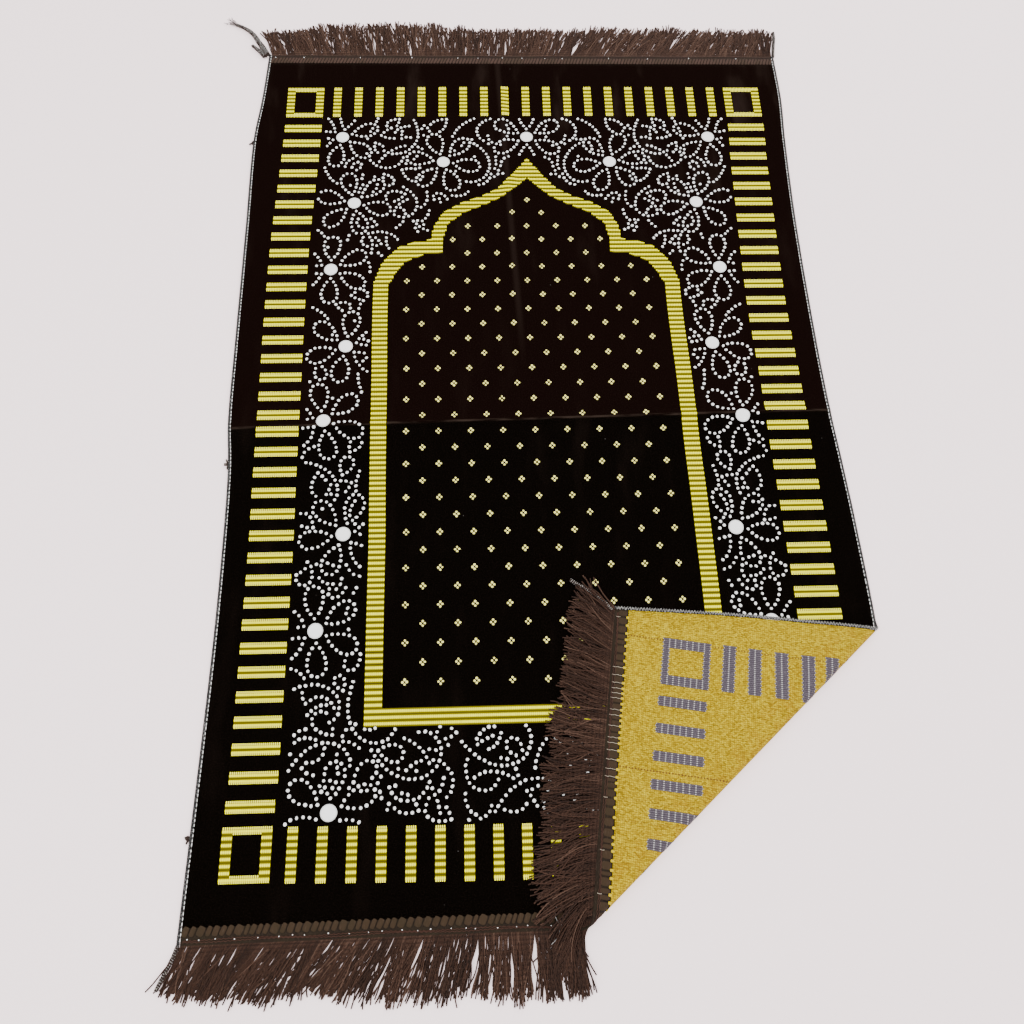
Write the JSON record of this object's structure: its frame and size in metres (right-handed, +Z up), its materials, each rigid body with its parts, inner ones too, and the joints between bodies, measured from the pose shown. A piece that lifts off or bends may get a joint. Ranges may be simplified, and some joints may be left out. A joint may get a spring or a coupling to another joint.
{
  "type": "prayer rug with one corner folded over",
  "caption": "Flat rectangular velvet prayer rug with fringed ends and overlocked sides, one corner folded over to show the woven back.",
  "frame": {"origin": "on the rug's flat underside at its middle, at floor level", "axes": "+X across the rug to its right-hand side edge, +Y along the rug to its head end, +Z up from the floor out of the pile"},
  "size_m": [0.758, 1.2026, 0.0169],
  "materials": {
    "pile_cloth": "dark brown-black velvet pile with pale gold ribs, golden woven back",
    "edge_thread": "black and grey-white twisted overlock thread",
    "fringe_yarn": "dark brown twisted yarn"
  },
  "bodies": {
    "root": {"cloth": "pile_cloth", "fringe_head": "fringe_yarn", "fringe_foot": "fringe_yarn", "serging_left": "edge_thread", "serging_right": "edge_thread"}
  },
  "joints": []
}
